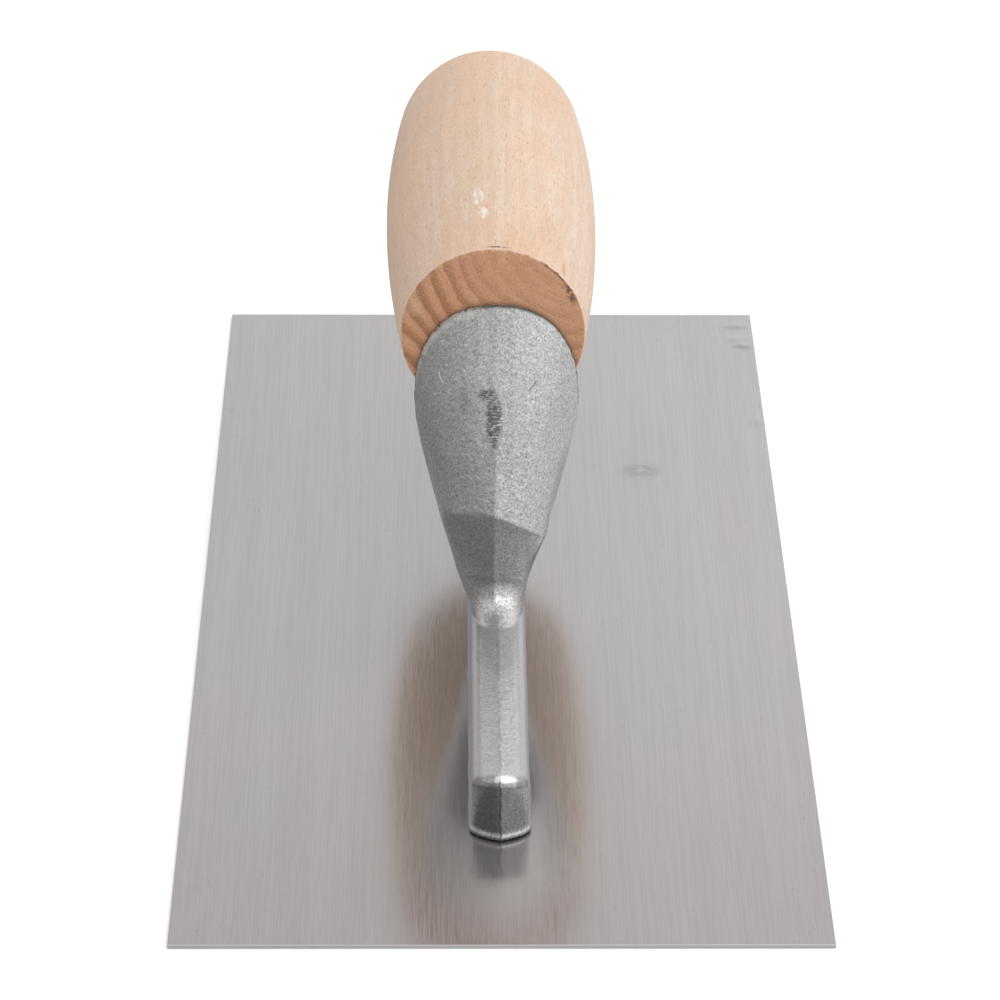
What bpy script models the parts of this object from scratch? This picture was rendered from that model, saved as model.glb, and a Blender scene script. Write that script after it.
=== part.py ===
"""Rectangular plastering trowel with a cast mounting and a turned wooden handle.

The origin is at the middle of the blade's lower face, +Z is up, and +Y runs from the toe of the blade
to its heel, along the handle. Everything is in metres.
"""

import math

import bmesh
import bpy

FIT_GAP = 0.0003

# Blade
BLADE_LENGTH = 0.280
BLADE_WIDTH = 0.130
BLADE_THICKNESS = 0.0007

# Bar of the mounting, which lies along the middle of the blade: its foot, its side and its roofed top
BAR_BOTTOM = BLADE_THICKNESS + FIT_GAP
BAR_TOP = 0.0129
BAR_RIDGE = 0.0007
BAR_REACH = 0.1035
BAR_HALF_WIDTH = 0.0060
BAR_DRAFT = 0.0003
BAR_EDGE = 0.0016
BAR_EDGE_STEPS = 4
BAR_EDGE_TURN = math.radians(80)
BAR_END_POINTS = 12
END_DEPTH_LOW = 0.0047
END_DEPTH_HIGH = 0.0020
END_LEAN = 0.0028
END_RIDGE_SHARE = 0.3
FOOT_HEIGHT = 0.0007
FOOT_MARGIN = 0.0004

# Handle, a turned barrel with a sawn front face and a domed back. It sits a little to one side of the
# blade's middle and droops a little towards its back, as hand-fitted handles do.
HANDLE_FRONT = -0.0177
HANDLE_LENGTH = 0.128
HANDLE_X = -0.00115
HANDLE_AXIS_Z = 0.0729
HANDLE_DROOP = math.radians(0.42)
BELLY_RADIUS = 0.0233
BELLY_AT = 0.47
FRONT_FALL = 0.01675
BACK_FALL = 0.0190
DOME_FROM = 0.812
FRONT_EASE = 0.0007

# Swan neck of the mounting: its lines in side view, from the collar face, just in front of the wood,
# down to the breast line, where its front turns back under, and from there into the bar. Each row is
# front y, front z, back y, back z. Its middle lies a little to one side of the bar's. FRONT_RUN is the
# direction, in y and z, in which its front runs down to the breast line.
COLLAR_GAP = 0.0005
COLLAR_Y = HANDLE_FRONT - COLLAR_GAP
COLLAR_TOP = 0.0806
COLLAR_BOTTOM = 0.0377
BREAST_LINE = (-0.0380, 0.0409, -0.0188, 0.0257)
LINES_ABOVE_BREAST = (
    (COLLAR_Y, COLLAR_TOP, COLLAR_Y, COLLAR_BOTTOM),
    (-0.0283, 0.0620, -0.0192, 0.0312),
    BREAST_LINE,
)
LINES_BELOW_BREAST = (
    BREAST_LINE,
    (-0.0341, 0.0247, -0.0160, 0.0197),
    (-0.0326, 0.0202, -0.0137, 0.0171),
    (-0.0334, 0.0168, -0.0107, 0.0151),
    (-0.0362, 0.0145, -0.0067, 0.0139),
    (-0.0397, 0.0133, -0.0025, 0.0132),
)
FRONT_RUN = (-0.416, -0.910)
NECK_SINK = 0.0043
NECK_X_LOW = -0.0008
NECK_X_HIGH = -0.0003
NECK_X_RISE = 0.005
WAIST_HALF_WIDTH = 0.0061
WAIST_Z = 0.0127
NECK_FLARE = 0.250
COLLAR_SQUARENESS = 2.3
WAIST_SQUARENESS = 3.4
FOOT_SQUARENESS = 2.1
FOOT_RISE = 0.0045
NECK_KEEL = 0.36
KEEL_FADE = 1.5
NECK_POINTS = 36
STEPS_ABOVE_BREAST = 6
STEPS_BELOW_BREAST = 3

# The crease across the breast runs level on the left and falls away on the right. This is where it
# starts to fall, how far it falls along the neck's front for each step sideways, and how far above and
# below it that is felt.
CREASE_FROM = -0.0035
CREASE_FALL = 0.34
CREASE_FELT_ABOVE = 0.0139
CREASE_FELT_BELOW = 0.0105
CREASE_FRONT_SHARE = 1.6

# Tang of the mounting, inside the handle
TANG_ROOT_RADIUS = 0.0062
TANG_END_RADIUS = 0.0052
TANG_LENGTH = 0.072
TANG_ROOT_DEPTH = 0.0005
TANG_BORE_DEPTH = 0.030

# Screw and washer in the back of the handle
SCREW_RADIUS = 0.0030
SCREW_ENGAGED = 0.026
SCREW_HEAD_RADIUS = 0.0052
SCREW_HEAD_HEIGHT = 0.0036
SCREW_HEAD_EASE = 0.0006
SCREW_SLOT_WIDTH = 0.0014
SCREW_SLOT_DEPTH = 0.0016
WASHER_RADIUS = 0.0066
WASHER_THICKNESS = 0.0014
COUNTERBORE_RADIUS = 0.0072
COUNTERBORE_DEPTH = 0.0110

# Rivets, through the blade into the bar
RIVET_COUNT = 6
RIVET_PITCH = 0.0345
RIVET_HEAD_RADIUS = 0.0035
RIVET_SHANK_RADIUS = 0.0020
RIVET_HEAD_HEIGHT = 0.0015
RIVET_LENGTH = 0.0085

ROUND_STEPS = 48
SMALL_STEPS = 24
BARREL_POINTS = 14
DOME_POINTS = 10
HALVINGS = 40
SHARP_ANGLE = math.radians(30)
MERGE_DISTANCE = 0.0001


def clear_scene():
    for obj in list(bpy.data.objects):
        bpy.data.objects.remove(obj, do_unlink=True)


def new_collection(name, hidden=False):
    collection = bpy.data.collections.new(name)
    collection.hide_render = hidden
    bpy.context.scene.collection.children.link(collection)
    return collection


def material(name, colour, roughness, metallic):
    made = bpy.data.materials.new(name)
    made.use_nodes = True
    shader = made.node_tree.nodes["Principled BSDF"]
    shader.inputs["Base Color"].default_value = (*colour, 1.0)
    shader.inputs["Roughness"].default_value = roughness
    shader.inputs["Metallic"].default_value = metallic
    return made


def move_to(obj, collection):
    for old in list(obj.users_collection):
        old.objects.unlink(obj)
    collection.objects.link(obj)


def mark_cutter(obj, helpers):
    move_to(obj, helpers)
    obj.hide_render = True
    obj.display_type = "WIRE"


def shade_round(mesh):
    mesh.shade_smooth()
    mesh.set_sharp_from_angle(angle=SHARP_ANGLE)


def object_from(bm, name):
    bmesh.ops.recalc_face_normals(bm, faces=bm.faces)
    mesh = bpy.data.meshes.new(name)
    bm.to_mesh(mesh)
    bm.free()
    obj = bpy.data.objects.new(name, mesh)
    bpy.context.scene.collection.objects.link(obj)
    return obj


def turned(name, outline, steps, hollow=False):
    """A solid of revolution about its own Z, from (radius, height) points that run down its outer side.

    A hollow one has an outline that goes on up its inner side and closes.
    """
    mesh = bpy.data.meshes.new(name)
    points = [(radius, 0.0, height) for radius, height in outline]
    edges = [(i, i + 1) for i in range(len(points) - 1)]
    if hollow:
        edges.append((len(points) - 1, 0))
    mesh.from_pydata(points, edges, [])
    obj = bpy.data.objects.new(name, mesh)
    bpy.context.scene.collection.objects.link(obj)
    screw = obj.modifiers.new("turn", "SCREW")
    screw.axis = "Z"
    screw.steps = steps
    screw.render_steps = steps
    screw.use_merge_vertices = True
    screw.merge_threshold = MERGE_DISTANCE
    screw.use_smooth_shade = True
    return obj


def boolean(obj, other, operation, name):
    modifier = obj.modifiers.new(name, "BOOLEAN")
    modifier.operation = operation
    modifier.solver = "EXACT"
    modifier.object = other


def rivet_places():
    return [(i - (RIVET_COUNT - 1) / 2) * RIVET_PITCH for i in range(RIVET_COUNT)]


def rivet_outline(gap=0.0):
    """A countersunk rivet standing on its head, or with a gap the hole for it, which reaches below."""
    outline = [
        (0.0, RIVET_LENGTH + gap),
        (RIVET_SHANK_RADIUS + gap, RIVET_LENGTH + gap),
        (RIVET_SHANK_RADIUS + gap, RIVET_HEAD_HEIGHT),
        (RIVET_HEAD_RADIUS + gap, 0.0),
    ]
    if gap:
        outline.append((RIVET_HEAD_RADIUS + gap, -gap))
    return outline + [(0.0, -gap)]


def handle_radius(share):
    """Radius of the turned barrel at a share of its length from the sawn face."""
    fall = FRONT_FALL if share < BELLY_AT else BACK_FALL
    barrel = BELLY_RADIUS - fall * (share - BELLY_AT) ** 2
    if share <= DOME_FROM:
        return barrel
    into_dome = (share - DOME_FROM) / (1 - DOME_FROM)
    return barrel * math.sqrt(max(0.0, 1 - into_dome**2))


def counterbore_share():
    """Where the dome is as narrow as the counterbore, by halving."""
    low, high = DOME_FROM, 1.0
    for _ in range(HALVINGS):
        middle = (low + high) / 2
        if handle_radius(middle) > COUNTERBORE_RADIUS:
            low = middle
        else:
            high = middle
    return low


def make_handle():
    rim = counterbore_share()
    rim_angle = math.asin((rim - DOME_FROM) / (1 - DOME_FROM))
    shares = [
        DOME_FROM + (1 - DOME_FROM) * math.sin(rim_angle * i / DOME_POINTS)
        for i in range(DOME_POINTS, 0, -1)
    ]
    shares += [DOME_FROM * i / BARREL_POINTS for i in range(BARREL_POINTS, 0, -1)]
    outline = [(handle_radius(share), share * HANDLE_LENGTH) for share in shares]
    outline.append((handle_radius(0.0), FRONT_EASE))
    outline.append((handle_radius(0.0) - FRONT_EASE, 0.0))
    tang_end = TANG_LENGTH + FIT_GAP
    floor = counterbore_floor()
    outline += [
        (TANG_ROOT_RADIUS + FIT_GAP, 0.0),
        (TANG_END_RADIUS + FIT_GAP, tang_end),
        (SCREW_RADIUS + FIT_GAP, tang_end),
        (SCREW_RADIUS + FIT_GAP, floor),
        (COUNTERBORE_RADIUS, floor),
    ]
    return turned("handle", outline, ROUND_STEPS, hollow=True)


def counterbore_floor():
    """Height of the counterbore's floor above the sawn face, along the handle's axis."""
    return counterbore_share() * HANDLE_LENGTH - COUNTERBORE_DEPTH


def make_washer():
    hole = SCREW_RADIUS + FIT_GAP
    outline = [
        (WASHER_RADIUS, WASHER_THICKNESS),
        (WASHER_RADIUS, 0.0),
        (hole, 0.0),
        (hole, WASHER_THICKNESS),
    ]
    washer = turned("screw_washer", outline, ROUND_STEPS, hollow=True)
    washer.location = (0.0, 0.0, counterbore_floor() + FIT_GAP)
    return washer


def make_screw(helpers):
    head_base = counterbore_floor() + WASHER_THICKNESS + 2 * FIT_GAP
    shank = head_base - (TANG_LENGTH - SCREW_ENGAGED)
    outline = [
        (0.0, SCREW_HEAD_HEIGHT),
        (SCREW_HEAD_RADIUS - SCREW_HEAD_EASE, SCREW_HEAD_HEIGHT),
        (SCREW_HEAD_RADIUS, SCREW_HEAD_HEIGHT - SCREW_HEAD_EASE),
        (SCREW_HEAD_RADIUS, 0.0),
        (SCREW_RADIUS, 0.0),
        (SCREW_RADIUS, SCREW_HEAD_EASE - shank),
        (SCREW_RADIUS - SCREW_HEAD_EASE, -shank),
        (0.0, -shank),
    ]
    screw = turned("handle_screw", outline, SMALL_STEPS)
    screw.location = (0.0, 0.0, head_base)
    bpy.ops.mesh.primitive_cube_add(size=1.0)
    slot = bpy.context.object
    slot.name = "screw_slot_cutter"
    slot.scale = (3 * SCREW_HEAD_RADIUS, SCREW_SLOT_WIDTH, 2 * SCREW_SLOT_DEPTH)
    slot.location = (0.0, 0.0, SCREW_HEAD_HEIGHT)
    slot.parent = screw
    mark_cutter(slot, helpers)
    boolean(screw, slot, "DIFFERENCE", "slot")
    return screw


def end_depth_share(across):
    """How far a bar end reaches beyond its shoulders, from 1 on its ridge to 0 at its sides."""
    ridge = 1 - abs(across)
    round_end = math.sqrt(max(0.0, 1 - across**2))
    return END_RIDGE_SHARE * ridge + (1 - END_RIDGE_SHARE) * round_end


def bar_outline(half_width, reach, depth):
    """Plan outline of the bar at one level, anticlockwise from the ridge of its back end."""
    outline = []
    for end in (1, -1):
        for i in range(BAR_END_POINTS + 1):
            across = math.cos(math.pi * i / BAR_END_POINTS) * end
            y = end * (reach - depth + depth * end_depth_share(across))
            outline.append((half_width * across, y))
    return outline


def bar_levels():
    """(half width, reach, end depth, z) up the side of the bar, from its foot to its roof."""
    foot_top = BAR_BOTTOM + FOOT_HEIGHT
    shoulder = BAR_TOP - BAR_EDGE
    levels = [
        (BAR_HALF_WIDTH + FOOT_MARGIN, BAR_REACH, END_DEPTH_LOW, BAR_BOTTOM),
        (BAR_HALF_WIDTH + FOOT_MARGIN, BAR_REACH, END_DEPTH_LOW, foot_top),
        (BAR_HALF_WIDTH, BAR_REACH - FOOT_MARGIN, END_DEPTH_LOW, foot_top + FOOT_MARGIN / 2),
    ]
    for i in range(BAR_EDGE_STEPS + 1):
        angle = BAR_EDGE_TURN * i / BAR_EDGE_STEPS
        inset = BAR_DRAFT + BAR_EDGE * (1 - math.cos(angle))
        reach = BAR_REACH - END_LEAN - BAR_EDGE * (1 - math.cos(angle))
        z = shoulder + BAR_EDGE * math.sin(angle)
        levels.append((BAR_HALF_WIDTH - inset, reach, END_DEPTH_HIGH, z))
    return levels


def make_bar():
    bm = bmesh.new()
    rings = []
    for half_width, reach, depth, z in bar_levels():
        outline = bar_outline(half_width, reach, depth)
        rings.append([bm.verts.new((x, y, z)) for x, y in outline])
    for low, high in zip(rings, rings[1:]):
        for i in range(len(low)):
            j = (i + 1) % len(low)
            bm.faces.new((low[i], low[j], high[j], high[i]))
    bm.faces.new(list(reversed(rings[0])))
    add_roof(bm, rings[-1])
    return object_from(bm, "bar")


def add_roof(bm, rim):
    """Closes the top of the bar with two slopes that meet on a ridge over its middle."""
    half = len(rim) // 2
    middle = half // 2
    right = rim[middle::-1] + rim[: half + middle - 1 : -1]
    left = rim[middle : half + middle + 1]
    ridge = [rim[middle]]
    for a, b in zip(left[1:-1], right[1:-1]):
        narrow = abs(a.co.x - b.co.x) / (2 * BAR_HALF_WIDTH)
        ridge.append(bm.verts.new((0.0, a.co.y, a.co.z + BAR_RIDGE * min(1.0, narrow))))
    ridge.append(left[-1])
    for side in (left, right):
        for i in range(len(ridge) - 1):
            corners = [side[i], side[i + 1], ridge[i + 1], ridge[i]]
            unique = [v for k, v in enumerate(corners) if v not in corners[:k]]
            bm.faces.new(unique)


def neck_section(front_y, front_z, back_y, back_z):
    """Points round one section of the neck: an oval, squarer towards the waist, with a keel in front."""
    middle_y = (front_y + back_y) / 2
    middle_z = (front_z + back_z) / 2
    rise = middle_z - WAIST_Z
    half_width = WAIST_HALF_WIDTH + NECK_FLARE * rise
    collar_rise = (COLLAR_TOP + COLLAR_BOTTOM) / 2 - WAIST_Z
    share = rise / collar_rise
    squareness = WAIST_SQUARENESS + (COLLAR_SQUARENESS - WAIST_SQUARENESS) * share
    into_foot = min(1.0, max(0.0, 1 - rise / FOOT_RISE))
    squareness += (FOOT_SQUARENESS - squareness) * into_foot
    depth = math.hypot(front_y - back_y, front_z - back_z) / 2
    to_front = ((front_y - middle_y) / depth, (front_z - middle_z) / depth)
    side_x = NECK_X_LOW * min(1.0, max(0.0, rise / NECK_X_RISE))
    side_x += (NECK_X_HIGH - NECK_X_LOW) * share
    keel = NECK_KEEL * max(0.0, 1 - share) ** KEEL_FADE
    points = []
    for i in range(NECK_POINTS):
        angle = 2 * math.pi * i / NECK_POINTS
        across = math.copysign(abs(math.sin(angle)) ** (2 / squareness), math.sin(angle))
        ahead_share = math.copysign(abs(math.cos(angle)) ** (2 / squareness), math.cos(angle))
        ahead = ahead_share * depth
        if ahead > 0:
            ahead -= keel * half_width * abs(across) * (1 - abs(across) ** 3)
        y = middle_y + to_front[0] * ahead
        z = middle_z + to_front[1] * ahead
        fall = crease_fall(middle_z, half_width * across, ahead_share)
        points.append((side_x + half_width * across, y + FRONT_RUN[0] * fall, z + FRONT_RUN[1] * fall))
    return points


def crease_fall(middle_z, sideways, ahead_share):
    """How far a point of the neck is drawn down its front, so that the crease falls to the right."""
    above_crease = middle_z - (BREAST_LINE[1] + BREAST_LINE[3]) / 2
    reach = CREASE_FELT_ABOVE if above_crease > 0 else CREASE_FELT_BELOW
    felt = max(0.0, 1 - abs(above_crease) / reach)
    front = min(1.0, max(0.0, CREASE_FRONT_SHARE * ahead_share))
    return CREASE_FALL * felt * front * max(0.0, sideways - CREASE_FROM)


def smooth_rows(rows, steps):
    """Rows on a Catmull-Rom curve through the given rows, steps of them from each row to the next."""
    ends = [rows[0], *rows, rows[-1]]
    curve = []
    for a, b, c, d in zip(ends, ends[1:], ends[2:], ends[3:]):
        for i in range(steps):
            t = i / steps
            weights = (
                -t + 2 * t**2 - t**3,
                2 - 5 * t**2 + 3 * t**3,
                t + 4 * t**2 - 3 * t**3,
                t**3 - t**2,
            )
            row = [sum(w * x for w, x in zip(weights, column)) / 2 for column in zip(a, b, c, d)]
            curve.append(tuple(row))
    return curve + [rows[-1]]


def neck_lines():
    """Every section's line, from the collar down to a last one sunk into the bar."""
    above = smooth_rows(LINES_ABOVE_BREAST, STEPS_ABOVE_BREAST)
    below = smooth_rows(LINES_BELOW_BREAST, STEPS_BELOW_BREAST)
    front_y, front_z, back_y, back_z = below[-1]
    sunk = (front_y, front_z - NECK_SINK, back_y, back_z - NECK_SINK)
    return above + below[1:] + [sunk]


def make_neck():
    bm = bmesh.new()
    rings = [[bm.verts.new(p) for p in neck_section(*line)] for line in neck_lines()]
    for high, low in zip(rings, rings[1:]):
        for i in range(NECK_POINTS):
            j = (i + 1) % NECK_POINTS
            bm.faces.new((high[i], high[j], low[j], low[i]))
    bm.faces.new(rings[0])
    bm.faces.new(list(reversed(rings[-1])))
    return object_from(bm, "neck")


def make_tang():
    outline = [
        (SCREW_RADIUS + FIT_GAP, TANG_LENGTH),
        (TANG_END_RADIUS, TANG_LENGTH),
        (TANG_ROOT_RADIUS, 0.0),
        (TANG_ROOT_RADIUS, -COLLAR_GAP - TANG_ROOT_DEPTH),
        (0.0, -COLLAR_GAP - TANG_ROOT_DEPTH),
        (0.0, TANG_LENGTH - TANG_BORE_DEPTH),
        (SCREW_RADIUS + FIT_GAP, TANG_LENGTH - TANG_BORE_DEPTH),
    ]
    return turned("tang", outline, SMALL_STEPS, hollow=True)


def make_mounting(tang, rivet_holes, helpers):
    """The casting: bar, neck and tang in one piece, with a blind hole for each rivet."""
    mounting = make_bar()
    mounting.name = "mounting"
    for piece in (make_neck(), tang):
        mark_cutter(piece, helpers)
        boolean(mounting, piece, "UNION", piece.name)
    for hole in rivet_holes:
        boolean(mounting, hole, "DIFFERENCE", hole.name)
    return mounting


def make_blade(rivet_holes):
    bpy.ops.mesh.primitive_cube_add(size=1.0)
    blade = bpy.context.object
    blade.name = "blade"
    blade.scale = (BLADE_WIDTH, BLADE_LENGTH, BLADE_THICKNESS)
    blade.location = (0.0, 0.0, BLADE_THICKNESS / 2)
    bpy.ops.object.transform_apply(location=True, rotation=True, scale=True)
    for hole in rivet_holes:
        boolean(blade, hole, "DIFFERENCE", hole.name)
    return blade


def make_rivets(helpers):
    rivets, holes = [], []
    for number, y in enumerate(rivet_places(), start=1):
        rivet = turned(f"rivet_{number}", rivet_outline(), SMALL_STEPS)
        hole = turned(f"rivet_hole_{number}", rivet_outline(FIT_GAP), SMALL_STEPS)
        rivet.location = (0.0, y, 0.0)
        hole.location = (0.0, y, 0.0)
        mark_cutter(hole, helpers)
        rivets.append(rivet)
        holes.append(hole)
    return rivets, holes


def handle_axis(collection):
    """An empty on the handle's axis at the sawn face, whose +Z runs back along the handle."""
    axis = bpy.data.objects.new("handle_axis", None)
    axis.location = (HANDLE_X, HANDLE_FRONT, HANDLE_AXIS_Z)
    axis.rotation_euler = (math.radians(-90) - HANDLE_DROOP, 0.0, 0.0)
    collection.objects.link(axis)
    return axis


def main():
    clear_scene()
    trowel = new_collection("plastering_trowel")
    helpers = new_collection("cutters", hidden=True)
    steel = material("blade_steel", (0.46, 0.45, 0.44), 0.32, 1.0)
    aluminium = material("cast_aluminium", (0.55, 0.55, 0.55), 0.45, 1.0)
    beech = material("raw_beech", (0.76, 0.56, 0.40), 0.65, 0.0)
    fastener = material("zinc_steel", (0.60, 0.60, 0.60), 0.35, 1.0)

    rivets, holes = make_rivets(helpers)
    handle, screw, washer, tang = make_handle(), make_screw(helpers), make_washer(), make_tang()
    axis = handle_axis(trowel)
    for piece in (handle, screw, washer, tang):
        piece.parent = axis

    finishes = [
        (make_blade(holes), steel),
        (make_mounting(tang, holes, helpers), aluminium),
        (handle, beech),
        (screw, fastener),
        (washer, fastener),
    ]
    finishes += [(rivet, steel) for rivet in rivets]
    for piece, finish in finishes:
        move_to(piece, trowel)
        piece.data.materials.append(finish)
        if piece.data.polygons:
            shade_round(piece.data)


main()
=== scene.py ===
"""Looks of a rectangular plastering trowel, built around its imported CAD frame.

Everything is in metres in the CAD's own frame: +X is across the blade, +Y runs from its toe to its
heel, +Z is up, and the blade's lower face lies on the floor at the origin.
"""

import math

import bmesh
import bpy
import numpy as np
from mathutils import Matrix, Vector, noise


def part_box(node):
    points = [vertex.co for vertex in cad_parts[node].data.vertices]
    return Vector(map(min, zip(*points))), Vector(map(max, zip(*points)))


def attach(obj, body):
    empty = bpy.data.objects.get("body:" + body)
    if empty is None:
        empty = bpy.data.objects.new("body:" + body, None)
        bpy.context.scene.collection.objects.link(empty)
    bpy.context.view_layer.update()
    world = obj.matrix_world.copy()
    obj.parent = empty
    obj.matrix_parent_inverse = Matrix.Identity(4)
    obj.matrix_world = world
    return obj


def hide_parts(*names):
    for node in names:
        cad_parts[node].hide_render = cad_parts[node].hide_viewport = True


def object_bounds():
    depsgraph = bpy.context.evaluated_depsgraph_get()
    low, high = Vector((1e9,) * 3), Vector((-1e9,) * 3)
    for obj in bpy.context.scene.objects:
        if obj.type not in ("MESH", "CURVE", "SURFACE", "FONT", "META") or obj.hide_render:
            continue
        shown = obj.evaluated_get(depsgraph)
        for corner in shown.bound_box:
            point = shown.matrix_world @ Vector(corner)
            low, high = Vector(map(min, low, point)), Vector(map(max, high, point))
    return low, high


MM = 0.001

# Camera: where it stands, which way it looks and how long its lens is
CAMERA_PLACE = (-0.0094, -0.8382, 0.4763)
CAMERA_YAW = math.radians(0.697)
CAMERA_PITCH = math.radians(28.38)
CAMERA_ROLL = math.radians(0.359)
CAMERA_LENS = 155.7
CAMERA_SENSOR = 36.0

# Handle: its axis runs from the sawn face to the domed back, with a small droop
HANDLE_START = (-0.00115, -0.0177, 0.0729)
HANDLE_DROOP = math.radians(0.42)
HANDLE_LENGTH = 0.128
BELLY_RADIUS = 0.0233
BELLY_AT = 0.47
FRONT_FALL = 0.01675
BACK_FALL = 0.0190
DOME_FROM = 0.812
BORE_FRONT_RADIUS = 0.0065
BORE_END_RADIUS = 0.0055
BORE_DEPTH = 0.0723
SCREW_HOLE_RADIUS = 0.0033
COUNTERBORE_RADIUS = 0.0072
COUNTERBORE_DEPTH = 0.0110
RIM_EASE = 0.00035
HANDLE_STEPS = 168
DOME_STEPS = 26
BARREL_STEPS = 130

# Depths of the marks on the handle: saw marks, chips on the rim's two sides, slow waves and grain
SAW_DEPTH = 0.00005
FACE_CHIP = 0.00035
SIDE_CHIP = 0.00030
WAVE_DEPTH = 0.00006
GRAIN_DEPTH = 0.000018

# Growth rings of the handle's wood, round a pith that lies up and to the right of the handle
PITH = (0.0190, -0.0230)
RING_PITCH = 0.0034

# Direction across the saw marks on the sawn face
SAW_ACROSS = (-0.44, 0.90)

# Screw and washer
WASHER_THICKNESS = 0.0014
SEAT_GAP = 0.0003
SCREW_RADIUS = 0.0030
SCREW_SHANK_END = 0.046
SCREW_HEAD_HEIGHT = 0.0036
THREAD_PITCH = 0.0012
THREAD_DEPTH = 0.00030
SLOT_BOX = (0.014, 0.0014, 0.0032)

# Blade
BLADE_TOP = 0.0007
BLADE_EDGE_EASE = 0.00011
BLADE_CELL = 0.005
SHEET_WAVE = 0.00003

# Rivets
RIVET_COUNT = 6
RIVET_PITCH = 0.0345

# Casting
CAST_VOXEL = 0.00033
SAND_RELIEF = 0.000045
SWELL_RELIEF = 0.00009
CAST_LIFT = 0.00025

# Floor: how far it reaches from the middle, and how far it lies below the blade
FLOOR_REACH = 4.0
FLOOR_GAP = 0.00005

# Share of the steel's light that mirrors its surroundings; the ground surface scatters the rest
STEEL_METALLIC = 0.88


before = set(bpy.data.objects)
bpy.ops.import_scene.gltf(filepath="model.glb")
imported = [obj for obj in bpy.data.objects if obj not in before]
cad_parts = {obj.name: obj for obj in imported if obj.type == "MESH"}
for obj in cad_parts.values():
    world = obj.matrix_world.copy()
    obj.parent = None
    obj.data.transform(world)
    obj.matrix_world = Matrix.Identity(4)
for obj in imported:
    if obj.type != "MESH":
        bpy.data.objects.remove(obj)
cad_low, cad_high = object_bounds()


# Node trees ---------------------------------------------------------------------------------------


class Graph:
    """A material and its nodes, with one short call for each kind of node it needs."""

    def __init__(self, name, metallic, roughness, specular=0.5):
        self.material = bpy.data.materials.new(name)
        self.material.use_nodes = True
        self.tree = self.material.node_tree
        self.shader = self.tree.nodes["Principled BSDF"]
        self.shader.inputs["Metallic"].default_value = metallic
        self.shader.inputs["Roughness"].default_value = roughness
        self.shader.inputs["Specular IOR Level"].default_value = specular
        self.place = self.tree.nodes.new("ShaderNodeTexCoord").outputs["Object"]

    def put(self, socket, value):
        if isinstance(value, bpy.types.NodeSocket):
            self.tree.links.new(value, socket)
        else:
            socket.default_value = value

    def maths(self, operation, a, b=0.0):
        node = self.tree.nodes.new("ShaderNodeMath")
        node.operation = operation
        self.put(node.inputs[0], a)
        self.put(node.inputs[1], b)
        return node.outputs[0]

    def times(self, product, *others):
        """The product of two or more values."""
        for other in others:
            product = self.maths("MULTIPLY", product, other)
        return product

    def vector(self, operation, a, b=(0.0, 0.0, 0.0)):
        node = self.tree.nodes.new("ShaderNodeVectorMath")
        node.operation = operation
        self.put(node.inputs[0], a)
        self.put(node.inputs[1], b)
        return node.outputs["Value" if operation == "LENGTH" else "Vector"]

    def noise(self, scale, detail=2.0, rough=0.5, shift=(0.0, 0.0, 0.0)):
        """Noise from 0 to 1 about 0.5. The scale is per metre along each axis."""
        node = self.tree.nodes.new("ShaderNodeTexNoise")
        node.inputs["Scale"].default_value = 1.0
        node.inputs["Detail"].default_value = detail
        node.inputs["Roughness"].default_value = rough
        stretched = self.vector("MULTIPLY", self.place, scale)
        self.put(node.inputs["Vector"], self.vector("ADD", stretched, shift))
        return node.outputs[0]

    def cells(self, scale):
        """Voronoi cells, with a random colour for each."""
        node = self.tree.nodes.new("ShaderNodeTexVoronoi")
        node.inputs["Scale"].default_value = 1.0
        self.put(node.inputs["Vector"], self.vector("MULTIPLY", self.place, scale))
        return node.outputs["Color"]

    def parts(self, value=None):
        """The x, y and z of a vector, or of the place on the object."""
        node = self.tree.nodes.new("ShaderNodeSeparateXYZ")
        self.put(node.inputs[0], self.place if value is None else value)
        return node.outputs

    def step(self, value, low, high, out_low=0.0, out_high=1.0):
        """A smooth step of the value from low to high."""
        node = self.tree.nodes.new("ShaderNodeMapRange")
        node.interpolation_type = "SMOOTHSTEP"
        self.put(node.inputs["Value"], value)
        limits = {"From Min": low, "From Max": high, "To Min": out_low, "To Max": out_high}
        for name, number in limits.items():
            node.inputs[name].default_value = number
        return node.outputs["Result"]

    def spot(self, centre, size, inner=0.5):
        """1 within a soft-edged ellipsoid round the centre, 0 outside it."""
        away = self.vector("SUBTRACT", self.place, centre)
        share = self.vector("LENGTH", self.vector("DIVIDE", away, size))
        return self.step(share, inner, 1.0, 1.0, 0.0)

    def ramp(self, value, *stops):
        node = self.tree.nodes.new("ShaderNodeValToRGB")
        elements = node.color_ramp.elements
        while len(elements) < len(stops):
            elements.new(0.5)
        for element, (position, level) in zip(elements, stops):
            element.position = position
            element.color = (level, level, level, 1.0)
        self.put(node.inputs[0], value)
        return node.outputs[0]

    def blend(self, share, a, b, kind="MIX"):
        node = self.tree.nodes.new("ShaderNodeMix")
        node.data_type = "RGBA"
        node.blend_type = kind
        self.put(node.inputs["Factor"], share)
        self.put(node.inputs[6], a)
        self.put(node.inputs[7], b)
        return node.outputs[2]

    def paint(self, colour, mask, share, tint):
        """The colour with a tint laid over it where the mask is 1, at that share of full strength."""
        return self.blend(self.times(mask, share), colour, tint)

    def bump(self, height, distance, strength=1.0, under=None):
        node = self.tree.nodes.new("ShaderNodeBump")
        node.inputs["Strength"].default_value = strength
        node.inputs["Distance"].default_value = distance
        self.put(node.inputs["Height"], height)
        if under is not None:
            self.put(node.inputs["Normal"], under)
        return node.outputs[0]

    def finish(self, colour, roughness=None, normal=None):
        self.put(self.shader.inputs["Base Color"], colour)
        if roughness is not None:
            self.put(self.shader.inputs["Roughness"], roughness)
        if normal is not None:
            self.put(self.shader.inputs["Normal"], normal)
        return self.material


def rgb(red, green, blue):
    return (red, green, blue, 1.0)


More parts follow.
